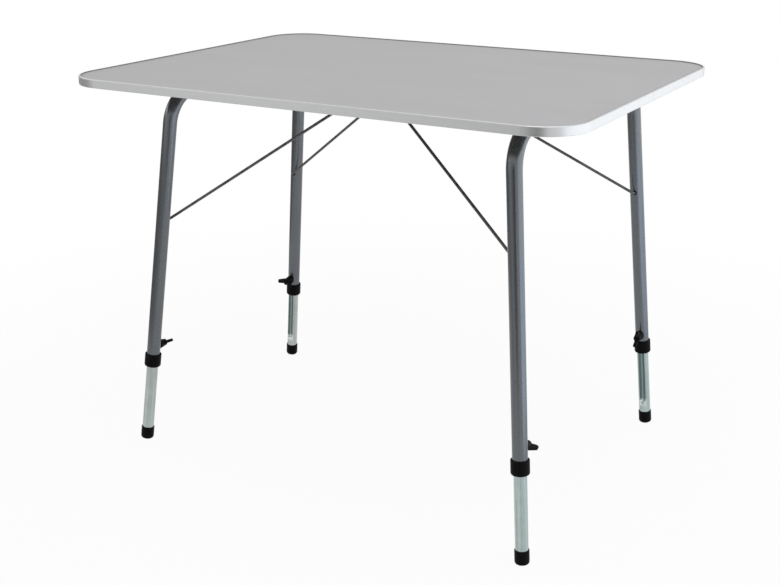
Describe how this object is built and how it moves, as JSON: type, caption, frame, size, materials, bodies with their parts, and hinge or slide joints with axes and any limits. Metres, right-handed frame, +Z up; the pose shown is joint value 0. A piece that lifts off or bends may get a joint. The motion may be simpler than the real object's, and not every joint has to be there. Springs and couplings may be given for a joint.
{
  "type": "folding camping table",
  "caption": "Folding camping table with a rounded laminate top, an aluminium edge strip, two folding tube leg frames, wire stays and telescopic clamped feet.",
  "frame": {"origin": "On the floor under the middle of the table top", "axes": "+X along the table towards the wider leg frame, +Y across the table away from the viewer, +Z up"},
  "size_m": [0.8, 0.6, 0.613],
  "materials": {
    "laminate": "satin grey laminate on fibreboard",
    "edge_aluminium": "satin anodised",
    "leg_paint": "semi-gloss blue-grey",
    "zinc_tube": "zinc plated",
    "black_plastic": "moulded black",
    "stay_wire": "dark plated wire",
    "pressed_steel": "zinc plated sheet",
    "fixings": "bright zinc"
  },
  "bodies": {
    "top": {"table_board": "laminate", "edge_strip": "edge_aluminium", "strip_pin": "fixings", "stay_catch": "pressed_steel", "catch_screws": "fixings", "strap_screws": "fixings", "saddle_left_front": "black_plastic", "saddle_left_rear": "black_plastic", "saddle_right_front": "black_plastic", "saddle_right_rear": "black_plastic", "strap_left_front": "pressed_steel", "strap_left_rear": "pressed_steel", "strap_right_front": "pressed_steel", "strap_right_rear": "pressed_steel"},
    "left_legs": {"left_leg_frame": "leg_paint", "collar_left_front": "black_plastic", "collar_left_rear": "black_plastic", "clamp_nut_left_front": "leg_paint", "clamp_nut_left_rear": "leg_paint"},
    "left_brace": {"left_stay": "stay_wire"},
    "foot_left_front": {"inner_leg_left_front": "zinc_tube", "foot_cap_left_front": "black_plastic"},
    "knob_left_front": {"wing_knob_left_front": "black_plastic", "clamp_screw_left_front": "fixings"},
    "foot_left_rear": {"inner_leg_left_rear": "zinc_tube", "foot_cap_left_rear": "black_plastic"},
    "knob_left_rear": {"wing_knob_left_rear": "black_plastic", "clamp_screw_left_rear": "fixings"},
    "right_legs": {"right_leg_frame": "leg_paint", "collar_right_front": "black_plastic", "collar_right_rear": "black_plastic", "clamp_nut_right_front": "leg_paint", "clamp_nut_right_rear": "leg_paint"},
    "right_brace": {"right_stay": "stay_wire"},
    "foot_right_front": {"inner_leg_right_front": "zinc_tube", "foot_cap_right_front": "black_plastic"},
    "knob_right_front": {"wing_knob_right_front": "black_plastic", "clamp_screw_right_front": "fixings"},
    "foot_right_rear": {"inner_leg_right_rear": "zinc_tube", "foot_cap_right_rear": "black_plastic"},
    "knob_right_rear": {"wing_knob_right_rear": "black_plastic", "clamp_screw_right_rear": "fixings"}
  },
  "joints": [
    {"name": "left_fold", "type": "hinge", "parent": "top", "child": "left_legs", "pos_m": [-0.2961, 0, 0.578], "axis": [0, -1, 0], "range_deg": [0, 86]},
    {"name": "left_stay_swing", "type": "hinge", "parent": "left_legs", "child": "left_brace", "pos_m": [-0.31866, 0, 0.37588], "axis": [0, 1, 0], "range_deg": [0, 131]},
    {"name": "left_front_foot_slide", "type": "slide", "parent": "left_legs", "child": "foot_left_front", "axis": [0.1107, 0.0713, 0.9913], "range_m": [-0.085, 0.1]},
    {"name": "left_front_knob_turn", "type": "hinge", "parent": "left_legs", "child": "knob_left_front", "pos_m": [-0.34227, -0.20276, 0.16439], "axis": [-0.0079, 0.9975, -0.0709], "continuous": true},
    {"name": "left_rear_foot_slide", "type": "slide", "parent": "left_legs", "child": "foot_left_rear", "axis": [0.1107, -0.0713, 0.9913], "range_m": [-0.085, 0.1]},
    {"name": "left_rear_knob_turn", "type": "hinge", "parent": "left_legs", "child": "knob_left_rear", "pos_m": [-0.34227, 0.20276, 0.16439], "axis": [-0.0079, -0.9975, -0.0709], "continuous": true},
    {"name": "right_fold", "type": "hinge", "parent": "top", "child": "right_legs", "pos_m": [0.2945, 0, 0.584], "axis": [0, 1, 0], "range_deg": [0, 90]},
    {"name": "right_stay_swing", "type": "hinge", "parent": "right_legs", "child": "right_brace", "pos_m": [0.30942, 0, 0.40956], "axis": [0, -1, 0], "range_deg": [0, 144]},
    {"name": "right_front_foot_slide", "type": "slide", "parent": "right_legs", "child": "foot_right_front", "axis": [-0.0851, 0.0607, 0.9945], "range_m": [-0.085, 0.1]},
    {"name": "right_front_knob_turn", "type": "hinge", "parent": "right_legs", "child": "knob_right_front", "pos_m": [0.33037, -0.25029, 0.16474], "axis": [0.0052, 0.9982, -0.0605], "continuous": true},
    {"name": "right_rear_foot_slide", "type": "slide", "parent": "right_legs", "child": "foot_right_rear", "axis": [-0.0851, -0.0607, 0.9945], "range_m": [-0.085, 0.1]},
    {"name": "right_rear_knob_turn", "type": "hinge", "parent": "right_legs", "child": "knob_right_rear", "pos_m": [0.33037, 0.25029, 0.16474], "axis": [0.0052, -0.9982, -0.0605], "continuous": true}
  ],
  "couplings": [
    {"joint": "left_stay_swing", "follows": "left_fold", "ratio": 1.52},
    {"joint": "right_stay_swing", "follows": "right_fold", "ratio": 1.6}
  ]
}
